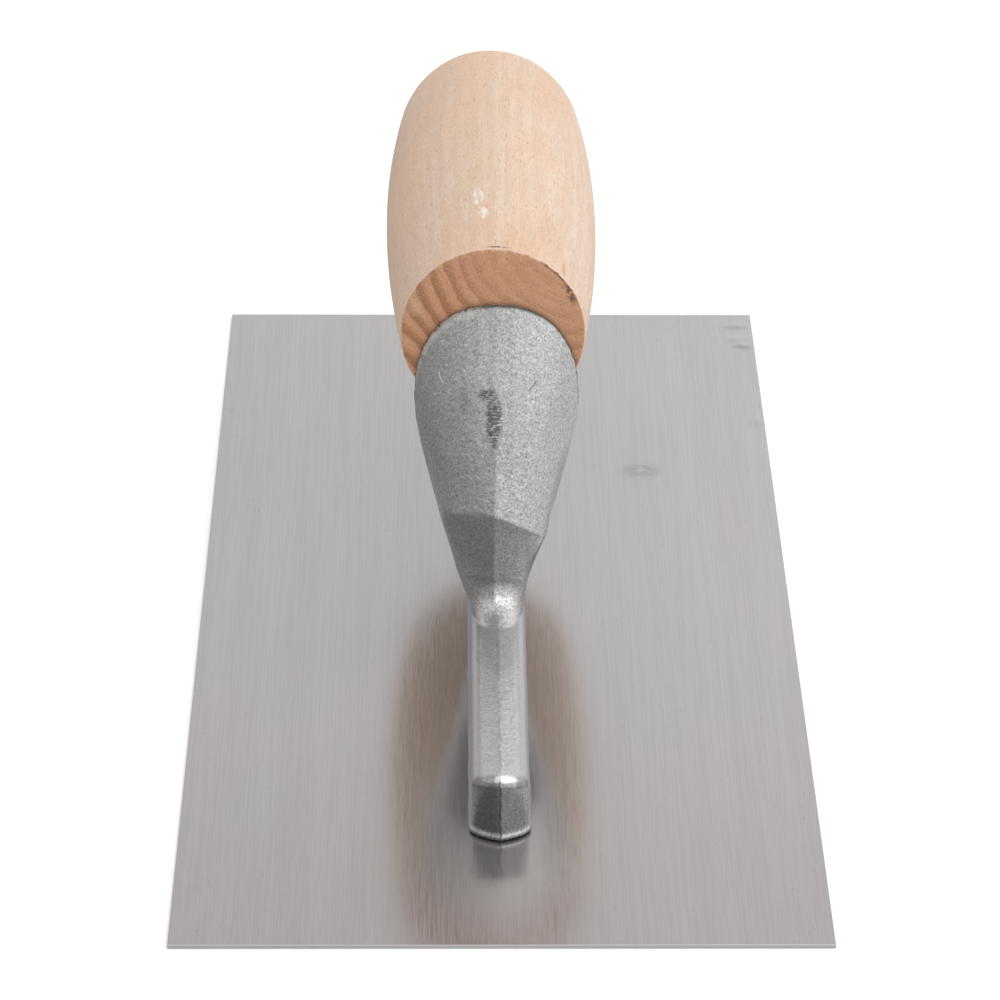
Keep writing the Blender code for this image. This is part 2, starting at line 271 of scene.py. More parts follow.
def grey(level):
    return rgb(level, level, level)


# Materials ----------------------------------------------------------------------------------------


def growth_rings(g):
    """0 in early wood, rising to 1 at each ring's late edge, and the distance from the pith."""
    away = g.vector("SUBTRACT", g.place, (*PITH, 0.0))
    flat = g.vector("MULTIPLY", away, (1.0, 1.0, 0.0))
    warp = g.noise((75.0, 75.0, 7.0), 2.0)
    shift = g.times(g.maths("SUBTRACT", warp, 0.5), 0.0042)
    distance = g.maths("ADD", g.vector("LENGTH", flat), shift)
    phase = g.maths("FRACT", g.maths("DIVIDE", distance, RING_PITCH))
    return g.ramp(phase, (0.0, 0.10), (0.30, 0.12), (0.62, 0.85), (0.86, 1.0), (1.0, 0.10)), distance


def side_marks(g, colour):
    """A pale scuff on top, a crack and a split at the front rim, and the burr that the saw left."""
    rough_patch = g.noise((900.0, 900.0, 260.0), 3.0, 0.65)
    scuff = g.maths("MAXIMUM", g.spot((-0.0031, -0.0215, 0.0228), (0.0014, 0.006, 0.0046)),
                    g.spot((-0.0022, -0.0215, 0.0154), (0.0016, 0.006, 0.0031)))
    scuff = g.times(scuff, g.step(rough_patch, 0.40, 0.56))
    colour = g.paint(colour, scuff, 0.75, rgb(0.800, 0.770, 0.750))
    crack = g.spot((0.0010, -0.0200, 0.0013), (0.0036, 0.004, 0.00055), 0.25)
    crack = g.times(crack, g.step(rough_patch, 0.36, 0.52))
    colour = g.paint(colour, crack, 0.85, rgb(0.130, 0.085, 0.060))
    split = g.spot((0.0149, -0.0134, 0.0036), (0.00050, 0.003, 0.0036), 0.2)
    colour = g.paint(colour, split, 0.70, rgb(0.560, 0.230, 0.100))
    _, _, along = g.parts()
    burr = g.times(g.step(along, 0.0002, 0.0016, 1.0, 0.0), g.step(rough_patch, 0.42, 0.62))
    return g.paint(colour, burr, 0.40, rgb(0.760, 0.620, 0.480)), crack


def beech_side():
    """The turned, sanded surface: pale, with short rays and flecks along the grain."""
    g = Graph("raw_beech_side", 0.0, 0.58, 0.28)
    rings, _ = growth_rings(g)
    tone = g.noise((34.0, 34.0, 9.0), 3.0, 0.55)
    colour = g.blend(g.step(tone, 0.3, 0.7), rgb(0.588, 0.432, 0.322), rgb(0.655, 0.538, 0.440))
    warm = g.step(g.noise((70.0, 70.0, 26.0), 3.0, 0.6, (3.0, 1.0, 7.0)), 0.44, 0.66)
    colour = g.paint(colour, warm, 0.85, rgb(0.655, 0.430, 0.292))
    colour = g.paint(colour, rings, 0.34, rgb(0.565, 0.385, 0.268))
    streaks = g.noise((1500.0, 1500.0, 36.0), 2.0, 0.6)
    colour = g.blend(g.step(streaks, 0.40, 0.72, 0.0, 0.42), colour, rgb(0.540, 0.375, 0.272))
    rays = g.step(g.noise((2600.0, 2600.0, 430.0), 1.0, 0.4), 0.60, 0.74)
    colour = g.paint(colour, rays, 0.58, rgb(0.450, 0.265, 0.170))
    pores = g.step(g.noise((4200.0, 4200.0, 900.0), 1.0, 0.4, (5.0, 2.0, 1.0)), 0.58, 0.72)
    colour = g.paint(colour, pores, 0.40, rgb(0.800, 0.670, 0.550))
    fibre = g.noise((700.0, 700.0, 150.0), 4.0, 0.7, (8.0, 4.0, 6.0))
    colour = g.blend(g.step(fibre, 0.36, 0.64, 0.22, 0.0), colour, rgb(0.500, 0.330, 0.225))
    colour, crack = side_marks(g, colour)
    relief = g.maths("ADD", g.times(streaks, 0.7), g.times(rays, -0.5))
    relief = g.maths("ADD", relief, g.times(fibre, 0.8))
    relief = g.maths("SUBTRACT", relief, g.times(crack, 1.6))
    roughness = g.step(tone, 0.3, 0.7, 0.54, 0.66)
    return g.finish(colour, roughness, g.bump(relief, 0.00006, 0.55))


def saw_marks(g, flat):
    """Uneven, slightly wandering lines across the sawn face."""
    x, y, _ = g.parts(flat)
    slant = g.maths("ADD", g.times(x, SAW_ACROSS[0]), g.times(y, SAW_ACROSS[1]))
    wander = g.times(g.noise((70.0, 70.0, 70.0), 2.0), 0.0022)
    marks = g.tree.nodes.new("ShaderNodeTexNoise")
    marks.noise_dimensions = "1D"
    marks.inputs["Scale"].default_value = 1.0
    marks.inputs["Detail"].default_value = 3.0
    g.put(marks.inputs["W"], g.times(g.maths("ADD", slant, wander), 2300.0))
    return marks.outputs[0]


def end_marks(g, colour, flat):
    """Marks along the sawn face's edge: a pale rim, a bruise, a brown line, fuzz and a dark stain."""
    x, _, _ = g.parts(flat)
    radius = g.vector("LENGTH", flat)
    edge_noise = g.noise((1100.0, 1100.0, 1100.0), 2.0, 0.6, (4.0, 4.0, 4.0))
    pale_rim = g.times(g.step(radius, 0.0183, 0.0196), g.step(edge_noise, 0.45, 0.62))
    colour = g.paint(colour, pale_rim, 0.40, rgb(0.800, 0.610, 0.440))
    bruise = g.spot((-0.0166, -0.0062, 0.0), (0.0024, 0.0030, 0.01), 0.2)
    colour = g.paint(colour, bruise, 0.32, rgb(0.700, 0.500, 0.330))
    ring = g.times(g.step(radius, 0.01895, 0.01915), g.step(x, 0.0110, 0.0160))
    colour = g.paint(colour, ring, 0.60, rgb(0.640, 0.270, 0.110))
    fuzz = g.times(g.step(radius, 0.0180, 0.0192), g.step(x, -0.0060, -0.0120),
                   g.step(edge_noise, 0.52, 0.64))
    colour = g.paint(colour, fuzz, 0.50, rgb(0.260, 0.140, 0.080))
    broad = g.times(g.spot((0.0164, -0.0098, 0.0), (0.0026, 0.0040, 0.01), 0.35),
                    g.step(radius, 0.0176, 0.0184))
    narrow = g.times(g.spot((0.0136, -0.0142, 0.0), (0.0060, 0.0046, 0.01), 0.45),
                     g.step(radius, 0.0188, 0.0192))
    stain = g.times(g.maths("MAXIMUM", broad, narrow), g.step(edge_noise, 0.34, 0.54))
    return g.paint(colour, stain, 0.82, rgb(0.085, 0.070, 0.070))


def beech_end():
    """The sawn face across the grain: brown, with rings, saw marks and a dark stain on its edge."""
    g = Graph("raw_beech_sawn_end", 0.0, 0.74, 0.2)
    rings, distance = growth_rings(g)
    tone = g.noise((120.0, 120.0, 120.0), 3.0, 0.6)
    colour = g.blend(tone, rgb(0.520, 0.262, 0.142), rgb(0.640, 0.362, 0.214))
    depth = g.step(distance, 0.019, 0.034, 0.20, 1.0)
    colour = g.paint(colour, rings, depth, rgb(0.340, 0.160, 0.082))
    flat = g.vector("MULTIPLY", g.place, (1.0, 1.0, 0.0))
    marks = saw_marks(g, flat)
    broken = g.times(g.step(marks, 0.55, 0.74), g.step(tone, 0.38, 0.62))
    colour = g.paint(colour, broken, 0.42, rgb(0.780, 0.500, 0.320))
    specks = g.noise((2900.0, 1700.0, 2300.0), 3.0, 0.7)
    colour = g.blend(g.step(specks, 0.50, 0.72, 0.0, 0.42), colour, rgb(0.730, 0.455, 0.285))
    colour = g.blend(g.step(specks, 0.30, 0.46, 0.60, 0.0), colour, rgb(0.330, 0.150, 0.075))
    colour = end_marks(g, colour, flat)
    relief = g.maths("ADD", g.times(marks, 0.8), specks)
    return g.finish(colour, g.step(specks, 0.3, 0.7, 0.68, 0.84), g.bump(relief, 0.00014, 0.7))


def brushed_steel(name, level=0.46):
    """Ground and brushed lengthwise: fine streaks in tone and roughness, a few scratches and smudges."""
    g = Graph(name, STEEL_METALLIC, 0.2, 0.3)
    hair = g.noise((7600.0, 120.0, 7600.0), 2.0, 0.55)
    line = g.noise((2400.0, 22.0, 2400.0), 2.0, 0.6, (2.0, 5.0, 1.0))
    band = g.noise((190.0, 5.0, 190.0), 3.0, 0.55)
    cloud = g.noise((23.0, 16.0, 23.0), 3.0, 0.5, (1.0, 8.0, 3.0))
    streak = g.maths("ADD", g.times(hair, 0.55), g.times(line, 0.45))
    colour = g.blend(g.step(streak, 0.30, 0.70), grey(level * 0.945), grey(level * 1.055))
    tint = g.blend(g.step(cloud, 0.3, 0.7), rgb(1.0, 0.968, 0.958), rgb(0.975, 0.965, 0.968))
    colour = g.blend(1.0, colour, tint, "MULTIPLY")
    shade = g.blend(g.step(band, 0.3, 0.7), rgb(0.972, 0.968, 0.965), grey(1.0))
    colour = g.blend(1.0, colour, shade, "MULTIPLY")
    fleck = g.step(g.noise((1300.0, 420.0, 1300.0), 1.0, 0.4, (9.0, 2.0, 4.0)), 0.70, 0.80)
    colour = g.paint(colour, fleck, 0.30, grey(level * 0.55))
    roughness = g.step(hair, 0.34, 0.62, 0.110, 0.185)
    roughness = g.maths("ADD", roughness, g.step(cloud, 0.3, 0.7, -0.005, 0.015))
    _, along, up = g.parts()
    patchy = g.noise((520.0, 900.0, 520.0), 3.0, 0.6, (3.3, 1.7, 8.2))
    smudge = g.times(g.spot((0.0346, 0.0565, 0.0), (0.0068, 0.0058, 0.1), 0.15),
                     g.step(patchy, 0.34, 0.56), g.step(up, 0.0003, 0.0005))
    roughness = g.maths("ADD", roughness, g.times(smudge, 0.10))
    roughness = g.maths("ADD", roughness, g.step(along, -0.090, -0.130, 0.0, 0.035))
    colour = g.paint(colour, smudge, 0.55, grey(level * 0.62))
    warmth = g.blend(g.step(along, 0.02, -0.13), grey(1.0), rgb(0.985, 0.950, 0.945))
    colour = g.blend(1.0, colour, warmth, "MULTIPLY")
    sheared = g.step(along, -0.13975, -0.13992)
    colour = g.paint(colour, sheared, 0.8, grey(0.66))
    roughness = g.maths("ADD", roughness, g.times(sheared, 0.35))
    relief = g.maths("ADD", g.times(hair, 0.6), g.times(line, 0.5))
    return g.finish(colour, roughness, g.bump(relief, 0.000004, 0.30))


def cast_wear(g, colour, grain, worn, shoulder):
    """Dark rubbed patches on the neck, painted shade low on the neck and on the bar's left, and painted
    highlights where the neck meets the bar and on the bar's top.
    """
    x, y, z = g.parts()
    rubbed = g.maths("MAXIMUM", g.spot((-0.0009, -0.0297, 0.0585), (0.0022, 0.012, 0.0072), 0.55),
                     g.spot((-0.0022, -0.0270, 0.0634), (0.0024, 0.012, 0.0016), 0.45))
    ragged = g.step(g.noise((900.0, 900.0, 3400.0), 2.0, 0.7, (7.0, 3.0, 2.0)), 0.40, 0.50)
    rubbed = g.times(rubbed, g.step(worn, 0.0, 1.0, 0.55, 1.0), ragged)
    colour = g.paint(colour, rubbed, 0.80, grey(0.08))
    # Painted shade on the lower right of the neck
    shade = g.spot((0.0080, -0.0310, 0.0290), (0.0036, 0.0090, 0.0085), 0.40)
    colour = g.paint(colour, shade, 0.50, grey(0.16))
    # Painted highlight where the neck curves into the bar
    painted_fillet_highlight = g.spot((0.0, -0.0335, 0.0175), (0.0068, 0.0050, 0.0046), 0.35)
    painted_fillet_highlight = g.times(painted_fillet_highlight, g.step(grain, 0.38, 0.60, 0.30, 1.0))
    colour = g.paint(colour, painted_fillet_highlight, 0.66, grey(0.90))
    # Painted light along the bar's top
    painted_bar_top_light = g.times(g.step(g.maths("ABSOLUTE", x), 0.0044, 0.0034), g.step(z, 0.0146, 0.0141),
                    g.step(y, -0.1010, -0.0990))
    colour = g.paint(colour, painted_bar_top_light, 0.28, grey(0.80))
    # Painted shade on the lower left of the neck
    under = g.times(g.step(z, 0.0235, 0.0265), g.step(z, 0.0400, 0.0385),
                    g.step(x, 0.0, -0.0016), g.step(y, -0.0310, -0.0330))
    colour = g.paint(colour, under, 0.22, grey(0.12))
    faint = g.times(g.spot((-0.0070, -0.0270, 0.0618), (0.0016, 0.012, 0.0045), 0.2), worn)
    colour = g.paint(colour, faint, 0.30, grey(0.12))
    # Painted shade along the bar's left shoulder
    painted_shade_left_shoulder = g.times(shoulder, g.step(x, -0.0020, -0.0040))
    return g.paint(colour, painted_shade_left_shoulder, 0.20, grey(0.12))


def collar_marks(g, colour, worn):
    """A curled nick, a scored line, and where the collar meets the wood a painted shadow line and dust.
    """
    x, y, z = g.parts()
    away = g.vector("SUBTRACT", g.place, (-0.0104, -0.0230, 0.0668))
    curl = g.vector("LENGTH", g.vector("MULTIPLY", away, (1.0, 0.0, 0.85)))
    ring = g.maths("ABSOLUTE", g.maths("SUBTRACT", curl, 0.0021))
    nick = g.times(g.step(ring, 0.00006, 0.00026, 1.0, 0.0),
                   g.spot((-0.0121, -0.0226, 0.0655), (0.0017, 0.0040, 0.0015), 0.6))
    colour = g.paint(colour, nick, 0.65, grey(0.90))
    line = g.maths("ADD", g.times(x, 0.72), g.times(z, -0.69))
    line = g.maths("ABSOLUTE", g.maths("ADD", line, 0.0394))
    score = g.times(g.step(line, 0.00005, 0.00022, 1.0, 0.0),
                    g.spot((0.0074, -0.0256, 0.0648), (0.0019, 0.0040, 0.0019), 0.5))
    colour = g.paint(colour, score, 0.6, grey(0.10))
    # Painted shadow: a dark line on the collar where it meets the wood
    rim = g.times(g.step(y, -0.01895, -0.01860), g.step(z, 0.0545, 0.0570))
    colour = g.paint(colour, rim, 0.85, grey(0.05))
    dust = g.times(g.step(y, -0.01970, -0.01925), g.step(x, -0.0020, -0.0075),
                   g.step(z, 0.060, 0.066), worn)
    return g.paint(colour, dust, 0.45, rgb(0.86, 0.80, 0.74)), nick


def toe_tones(g, colour, cloud):
    """Painted shade on the bar's toe faces and their top edge, the seam that wanders over them, and
    painted shade on the bar's foot.
    """
    x, y, z = g.parts()
    wander = g.times(g.maths("SUBTRACT", g.noise((300.0, 300.0, 300.0), 2.0), 0.5), 0.0016)
    seam = g.step(g.maths("ABSOLUTE", g.maths("ADD", x, wander)), 0.00006, 0.00034, 1.0, 0.0)
    seam = g.times(seam, g.step(z, 0.0146, 0.0140), g.step(cloud, 0.38, 0.50))
    # Painted shade on the toe's faces, darker on the left half
    toe = g.times(g.step(y, -0.1005, -0.0992, 1.0, 0.0), g.step(z, 0.0020, 0.0030))
    colour = g.paint(colour, toe, g.step(x, 0.0004, -0.0010, 0.54, 0.78), grey(0.10))
    colour = g.paint(colour, seam, g.step(y, -0.0985, -0.1000, 0.26, 0.75), grey(0.07))
    # Painted shade along the top edge of the toe's faces
    off_middle = g.maths("ABSOLUTE", g.maths("SUBTRACT", x, 0.0012))
    painted_shade_toe_edge = g.times(g.step(y, -0.0970, -0.0985), g.step(z, 0.0108, 0.0118),
                  g.step(off_middle, 0.0012, 0.0026))
    colour = g.paint(colour, painted_shade_toe_edge, 0.78, grey(0.16))
    # Painted shade along the bar's foot where it sits on the blade; the same mask lowers the foot's
    # roughness in cast_aluminium
    foot = g.step(z, 0.0016, 0.0021, 1.0, 0.0)
    return g.paint(colour, foot, 0.62, grey(0.14)), foot


def cast_aluminium():
    """Sand-cast surface: a coarse bright grain with painted glints, smoother on the bar's shoulders, with
    wear, marks, and painted light and shade.
    """
    g = Graph("cast_aluminium", 1.0, 0.4)
    grain = g.noise((2300.0, 2300.0, 2300.0), 2.0, 0.65)
    facet, tilt, _ = g.parts(g.cells((2700.0, 2700.0, 2700.0)))
    lumps = g.noise((420.0, 420.0, 420.0), 3.0, 0.55)
    cloud = g.noise((90.0, 90.0, 90.0), 3.0, 0.55, (2.0, 7.0, 3.0))
    worn = g.step(g.noise((820.0, 820.0, 420.0), 3.0, 0.65, (1.0, 3.0, 9.0)), 0.36, 0.50)
    x, y, z = g.parts()
    shoulder = g.times(g.step(g.maths("ABSOLUTE", x), 0.0031, 0.0045),
                       g.step(z, 0.0132, 0.0146, 1.0, 0.0), g.step(y, -0.1000, -0.0980))
    sandy = g.step(shoulder, 0.0, 1.0, 1.0, 0.22)
    level = g.times(g.step(grain, 0.30, 0.70, -0.5, 0.5), sandy)
    colour = g.blend(g.maths("ADD", level, 0.5), grey(0.37), grey(0.58))
    colour = g.blend(g.step(cloud, 0.3, 0.7), colour, rgb(0.94, 0.93, 0.915), "MULTIPLY")
    # Painted glints: random bright grain cells
    colour = g.paint(colour, g.times(g.step(facet, 0.92, 0.98), sandy), 0.32, grey(0.88))
    colour = g.paint(colour, g.times(g.step(tilt, 0.90, 0.98), sandy), 0.45, grey(0.17))
    colour = cast_wear(g, colour, grain, worn, shoulder)
    colour, nick = collar_marks(g, colour, worn)
    colour, foot = toe_tones(g, colour, cloud)
    roughness = g.step(level, -0.5, 0.5, 0.46, 0.37)
    roughness = g.maths("SUBTRACT", roughness, g.times(foot, 0.12))
    height = g.maths("ADD", grain, g.times(facet, 0.4))
    height = g.maths("SUBTRACT", g.times(height, sandy), g.times(nick, 0.8))
    fine = g.bump(height, 0.00012, 0.45)
    normal = g.bump(g.times(lumps, sandy), 0.00030, 0.22, fine)
    return g.finish(colour, roughness, normal)


def zinc_steel():
    """Zinc-plated fasteners: bright grey with a faint mottle and turning marks."""
    g = Graph("zinc_steel", 1.0, 0.3)
    mottle = g.noise((600.0, 600.0, 600.0), 3.0, 0.6)
    colour = g.blend(g.step(mottle, 0.3, 0.7), rgb(0.50, 0.50, 0.49), rgb(0.66, 0.66, 0.68))
    middle = math.sin(HANDLE_DROOP) * counterbore_floor()
    flat = g.vector("MULTIPLY", g.vector("SUBTRACT", g.place, (0.0, middle, 0.0)), (1.0, 1.0, 0.0))
    turning = g.maths("SINE", g.times(g.vector("LENGTH", flat), 24000.0))
    relief = g.maths("ADD", mottle, g.times(turning, 0.15))
    return g.finish(colour, g.step(mottle, 0.3, 0.7, 0.24, 0.40), g.bump(relief, 0.00003, 0.5))


def floor_paper():
    g = Graph("floor_paper", 0.0, 0.85, 0.1)
    fibre = g.noise((140.0, 140.0, 140.0), 3.0, 0.6)
    return g.finish(g.blend(fibre, grey(0.955), grey(0.970)))


# Mesh helpers -------------------------------------------------------------------------------------


def link(name, mesh, material):
    obj = bpy.data.objects.new(name, mesh)
    bpy.context.scene.collection.objects.link(obj)
    if material is not None:
        mesh.materials.append(material)
    return obj


def settle(obj, node_names):
    """Puts a finished piece on the CAD's one body, in place of the nodes it stands for."""
    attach(obj, "root")
    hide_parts(*node_names)
    return obj


def round_shading(mesh, degrees=32.0):
    mesh.shade_smooth()
    mesh.set_sharp_from_angle(angle=math.radians(degrees))


def baked(obj):
    """The object's mesh with its modifiers applied, as a new mesh."""
    bpy.context.view_layer.update()
    graph = bpy.context.evaluated_depsgraph_get()
    return bpy.data.meshes.new_from_object(obj.evaluated_get(graph), depsgraph=graph)


def turned_mesh(name, outline, steps, hollow=False):
    """A solid of revolution about Z from (radius, height) points; a radius of 0 makes a pole."""
    bm = bmesh.new()
    rings = []
    for radius, height in outline:
        if radius <= 0.0:
            rings.append([bm.verts.new((0.0, 0.0, height))])
            continue
        turn = [2 * math.pi * i / steps for i in range(steps)]
        rings.append([bm.verts.new((radius * math.cos(a), radius * math.sin(a), height)) for a in turn])
    pairs = list(zip(rings, rings[1:]))
    if hollow:
        pairs.append((rings[-1], rings[0]))
    for above, below in pairs:
        for i in range(steps):
            j = (i + 1) % steps
            corners = [above[i % len(above)], above[j % len(above)]]
            corners += [below[j % len(below)], below[i % len(below)]]
            unique = [v for k, v in enumerate(corners) if v not in corners[:k]]
            bm.faces.new(unique)
    bmesh.ops.recalc_face_normals(bm, faces=bm.faces)
    mesh = bpy.data.meshes.new(name)
    bm.to_mesh(mesh)
    bm.free()
    return mesh


def place_on_handle(obj, height=0.0):
    """Sets a piece on the handle's axis, that far behind the sawn face. The droop goes into its mesh."""
    droop = Matrix.Rotation(-HANDLE_DROOP, 4, "X")
    obj.data.transform(droop @ Matrix.Translation((0.0, 0.0, height)))
    obj.matrix_world = Matrix.Translation(HANDLE_START) @ Matrix.Rotation(math.radians(-90), 4, "X")


# Handle -------------------------------------------------------------------------------------------


def handle_radius(share):
    fall = FRONT_FALL if share < BELLY_AT else BACK_FALL
    barrel = BELLY_RADIUS - fall * (share - BELLY_AT) ** 2
    if share <= DOME_FROM:
        return barrel
    into_dome = (share - DOME_FROM) / (1 - DOME_FROM)
    return barrel * math.sqrt(max(0.0, 1 - into_dome**2))


def rim_share():
    """The share of the handle's length where the dome is as narrow as the counterbore."""
    low, high = DOME_FROM, 1.0
    for _ in range(40):
        middle = (low + high) / 2
        low, high = (middle, high) if handle_radius(middle) > COUNTERBORE_RADIUS else (low, middle)
    return low


def counterbore_floor():
    return rim_share() * HANDLE_LENGTH - COUNTERBORE_DEPTH


def evenly(a, b, spacing):
    """Points from a up to but not including b, about that far apart."""
    count = max(1, round(math.dist(a, b) / spacing))
    return [tuple(p + (q - p) * i / count for p, q in zip(a, b)) for i in range(count)]


def handle_outline():
    """Half outline of the handle from the rim of its counterbore, forward over the barrel to the bore."""
    rim = rim_share()
    rim_angle = math.asin((rim - DOME_FROM) / (1 - DOME_FROM))
    turns = [rim_angle * i / DOME_STEPS for i in range(DOME_STEPS - 1, 0, -1)]
    dome = [DOME_FROM + (1 - DOME_FROM) * math.sin(turn) for turn in turns]
    barrel = [DOME_FROM * i / BARREL_STEPS for i in range(BARREL_STEPS, 0, -1)]
    front = handle_radius(0.0)
    shares = [share for share in dome + barrel if share * HANDLE_LENGTH > RIM_EASE]
    outline = [(handle_radius(share), share * HANDLE_LENGTH) for share in shares]
    for i in range(4):
        angle = math.radians(90) * i / 3
        outline.append((front - RIM_EASE * (1 - math.cos(angle)), RIM_EASE * (1 - math.sin(angle))))
    floor = counterbore_floor()
    rim_z = rim * HANDLE_LENGTH
    outline += evenly((front - RIM_EASE - 0.0002, 0.0), (BORE_FRONT_RADIUS, 0.0), 0.0005)
    outline += evenly((BORE_FRONT_RADIUS, 0.0), (BORE_END_RADIUS, BORE_DEPTH), 0.004)
    outline += evenly((BORE_END_RADIUS, BORE_DEPTH), (SCREW_HOLE_RADIUS, BORE_DEPTH), 0.001)
    outline += evenly((SCREW_HOLE_RADIUS, BORE_DEPTH), (SCREW_HOLE_RADIUS, floor), 0.004)
    outline += evenly((SCREW_HOLE_RADIUS, floor), (COUNTERBORE_RADIUS - 0.0003, floor), 0.0006)
    outline += evenly((COUNTERBORE_RADIUS, floor + 0.0003), (COUNTERBORE_RADIUS, rim_z - 0.0009), 0.0007)
    outline.append((COUNTERBORE_RADIUS + 0.00012, rim_z - 0.00035))
    outline.append((COUNTERBORE_RADIUS + 0.0006, rim_z - 0.00012))
    return outline


def hand_work(mesh):
    """Small unevenness of turning and sanding, saw marks on the sawn face and chips along its rim."""
    for vertex in mesh.vertices:
        x, y, z = vertex.co
        radius = math.hypot(x, y)
        if z < RIM_EASE / 2 and radius > BORE_FRONT_RADIUS + 0.0002:
            slant = SAW_ACROSS[0] * x + SAW_ACROSS[1] * y
            saw = noise.noise(Vector((slant * 1500.0, x * 60.0, 3.0)))
            dip = SAW_DEPTH * (1 + saw)
            if radius > handle_radius(0.0) - 0.0012:
                chip = noise.noise(Vector((x, y, 0.0)) * 700.0)
                dip += FACE_CHIP * max(0.0, chip - 0.15)
            vertex.co.z += dip
        elif radius > COUNTERBORE_RADIUS + 0.0003:
            slow = noise.noise(Vector((x * 55.0, y * 55.0, z * 24.0)))
            grain = noise.noise(Vector((x * 620.0, y * 620.0, z * 30.0)))
            cut = WAVE_DEPTH * (1 + slow) + GRAIN_DEPTH * (1 + grain)
            if z < 0.004:
                chip = noise.noise(Vector((x * 480.0, y * 480.0, z * 200.0 + 5.0)))
                cut += SIDE_CHIP * max(0.0, chip - 0.1) * (1 - z / 0.004)
            vertex.co.x -= cut * x / radius
            vertex.co.y -= cut * y / radius


def make_handle(side, end):
    mesh = turned_mesh("beech_handle", handle_outline(), HANDLE_STEPS, hollow=True)
    hand_work(mesh)
    obj = link("beech_handle", mesh, side)
    mesh.materials.append(end)
    for face in mesh.polygons:
        x, y, z = face.center
        radius = math.hypot(x, y)
        in_front = z < 0.001 and radius < handle_radius(0.0)
        if abs(face.normal.z) > 0.72 and (in_front or radius < COUNTERBORE_RADIUS):
            face.material_index = 1
    round_shading(mesh, 38.0)
    place_on_handle(obj)
    return settle(obj, ["handle"])


# Casting ------------------------------------------------------------------------------------------


def make_mounting(material):
    """The casting's own shape, evened out in small cells and roughened as sand leaves it."""
    coarse = link("mounting_start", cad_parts["mounting"].data.copy(), None)
    weld = coarse.modifiers.new("weld", "WELD")
    weld.merge_threshold = 1e-6
    remesh = coarse.modifiers.new("cells", "REMESH")
    remesh.mode = "VOXEL"
    remesh.voxel_size = CAST_VOXEL
    remesh.use_smooth_shade = True
    smooth = coarse.modifiers.new("ease", "SMOOTH")
    smooth.factor = 0.5
    smooth.iterations = 1
    mesh = baked(coarse)
    bpy.data.objects.remove(coarse)
    mesh.name = "cast_mounting"
    normals = np.array([v.normal for v in mesh.vertices])
    points = np.array([v.co for v in mesh.vertices])
    offset = np.empty(len(points))
    for i, point in enumerate(points):
        sand = noise.noise(Vector(point) * 1100.0)
        swell = noise.noise(Vector(point) * 150.0)
        offset[i] = SAND_RELIEF * sand + SWELL_RELIEF * swell
    points += normals * offset[:, None]
    points[:, 2] = np.maximum(points[:, 2], cad_low.z + BLADE_TOP + CAST_LIFT)
    mesh.vertices.foreach_set("co", points.ravel())
    mesh.materials.clear()
    mesh.update()
    mesh.shade_smooth()
    obj = link("cast_mounting", mesh, material)
    return settle(obj, ["mounting"])


# Blade and rivets ---------------------------------------------------------------------------------

# Small dents near the blade's heel: place, half sizes across and along, and depth
DENTS = (
    ((0.0622, 0.1226), (0.0018, 0.0011), 0.00034),
    ((0.0606, 0.1262), (0.0030, 0.0018), 0.00018),
    ((0.0612, 0.1336), (0.0034, 0.0012), 0.00022),
    ((0.0628, 0.1130), (0.0016, 0.0024), 0.00010),
    ((0.0634, 0.0820), (0.0014, 0.0026), 0.00018),
    ((0.0450, 0.1330), (0.0012, 0.0016), 0.00007),
)


def sheet_height(x, y):
    """How far the sheet stands off a true plane: a slow wave, and the dents."""
    wave = noise.noise(Vector((x * 19.0, y * 11.0, 2.0)))
    height = SHEET_WAVE * (1 + wave)
    for (dent_x, dent_y), (across, along), depth in DENTS:
        share = ((x - dent_x) / across) ** 2 + ((y - dent_y) / along) ** 2
        height += depth * math.exp(-share)
    return height


def cut_across(bm, axis, places):
    normal = (1.0, 0.0, 0.0) if axis == 0 else (0.0, 1.0, 0.0)
    for place in places:
        point = tuple(place if i == axis else 0.0 for i in range(3))
        geometry = bm.verts[:] + bm.edges[:] + bm.faces[:]
        bmesh.ops.bisect_plane(bm, geom=geometry, plane_co=point, plane_no=normal, dist=1e-6)


def make_blade(material):
    bm = bmesh.new()
    bm.from_mesh(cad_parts["blade"].data)
    bmesh.ops.remove_doubles(bm, verts=bm.verts, dist=1e-6)
    bmesh.ops.dissolve_limit(bm, angle_limit=0.001, verts=bm.verts, edges=bm.edges)
    low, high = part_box("blade")
    # The cells are finer along the right side and the heel, where the dents are
    across = list(np.arange(low.x + BLADE_CELL, high.x - 0.017, BLADE_CELL))
    across += list(np.arange(high.x - 0.016, high.x - 0.0004, 0.0008))
    along = list(np.arange(low.y + BLADE_CELL, 0.072, BLADE_CELL))
    along += list(np.arange(0.074, high.y - 0.0004, 0.0009))
    cut_across(bm, 0, across)
    cut_across(bm, 1, along)
    for vertex in bm.verts:
        vertex.co.z += sheet_height(vertex.co.x, vertex.co.y)
    mesh = bpy.data.meshes.new("steel_blade")
    bm.to_mesh(mesh)
    bm.free()
    obj = link("steel_blade", mesh, material)
    bevel = obj.modifiers.new("edge", "BEVEL")
    bevel.width = BLADE_EDGE_EASE
    bevel.segments = 2
    bevel.limit_method = "ANGLE"
    bevel.angle_limit = math.radians(40)
    round_shading(mesh, 40.0)
    return settle(obj, ["blade"])


